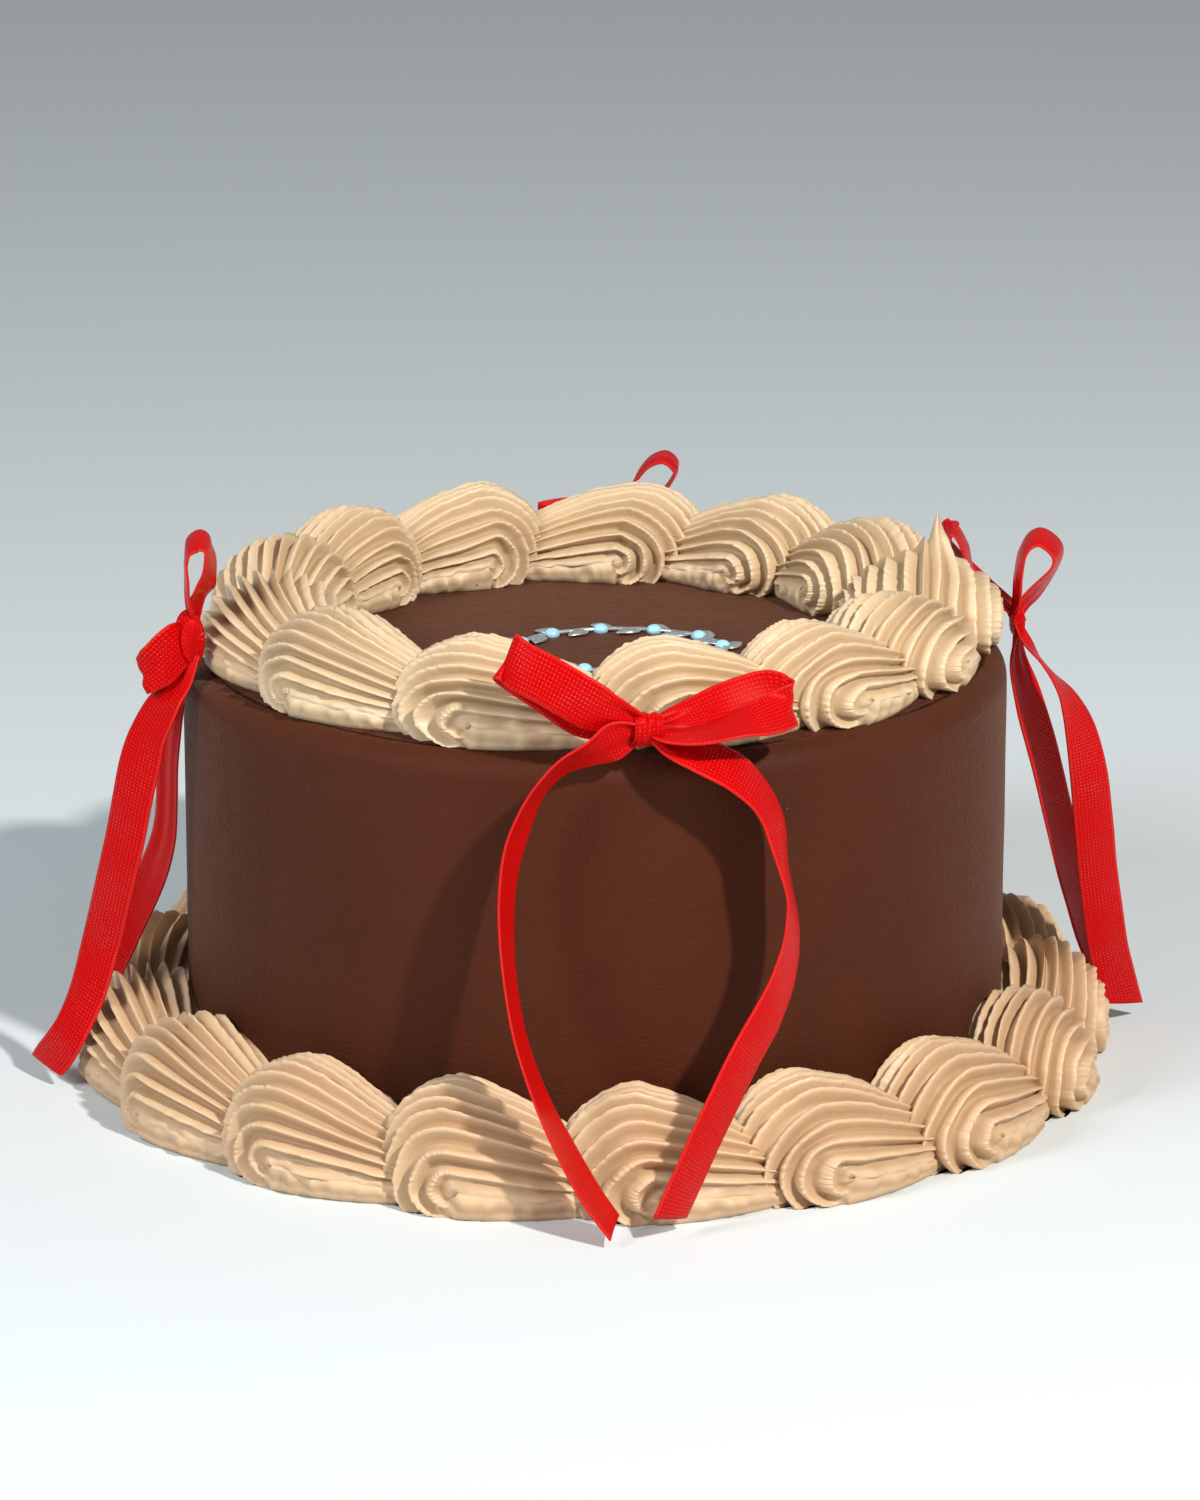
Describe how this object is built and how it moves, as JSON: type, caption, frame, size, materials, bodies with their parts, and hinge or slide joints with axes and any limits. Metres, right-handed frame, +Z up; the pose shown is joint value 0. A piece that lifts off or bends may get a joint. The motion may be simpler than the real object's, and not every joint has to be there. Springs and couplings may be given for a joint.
{
  "type": "layer cake",
  "caption": "Round uncut layer cake in chocolate icing, with piped buttercream shells round its top and foot, tied ribbon bows and a thin leaf wreath on top.",
  "frame": {"origin": "on the cake's axis at its underside, where it stands on a board or table", "axes": "+Z up along the cake's axis, -Y toward the front bow, +X to the right as seen from the front"},
  "size_m": [0.2335, 0.2371, 0.1139],
  "materials": {
    "chocolate_icing": "matte",
    "buttercream": "satin",
    "buttercream_foot": "satin",
    "ribbon_red": "satin",
    "silver_blue_icing": "satin"
  },
  "bodies": {
    "root": {"cake": "chocolate_icing", "top_shell_01": "buttercream", "top_shell_02": "buttercream", "top_shell_03": "buttercream", "top_shell_04": "buttercream", "top_shell_05": "buttercream", "top_shell_06": "buttercream", "top_shell_07": "buttercream", "top_shell_08": "buttercream", "top_shell_09": "buttercream", "top_shell_10": "buttercream", "top_shell_11": "buttercream", "top_shell_12": "buttercream", "top_shell_13": "buttercream", "base_shell_01": "buttercream_foot", "base_shell_02": "buttercream_foot", "base_shell_03": "buttercream_foot", "base_shell_04": "buttercream_foot", "base_shell_05": "buttercream_foot", "base_shell_06": "buttercream_foot", "base_shell_07": "buttercream_foot", "base_shell_08": "buttercream_foot", "base_shell_09": "buttercream_foot", "base_shell_10": "buttercream_foot", "base_shell_11": "buttercream_foot", "base_shell_12": "buttercream_foot", "base_shell_13": "buttercream_foot", "base_shell_14": "buttercream_foot", "base_shell_15": "buttercream_foot", "base_shell_16": "buttercream_foot", "base_shell_17": "buttercream_foot", "bow_front": "ribbon_red", "bow_left": "ribbon_red", "bow_right": "ribbon_red", "bow_back": "ribbon_red", "top_ornament": "silver_blue_icing"}
  },
  "joints": []
}
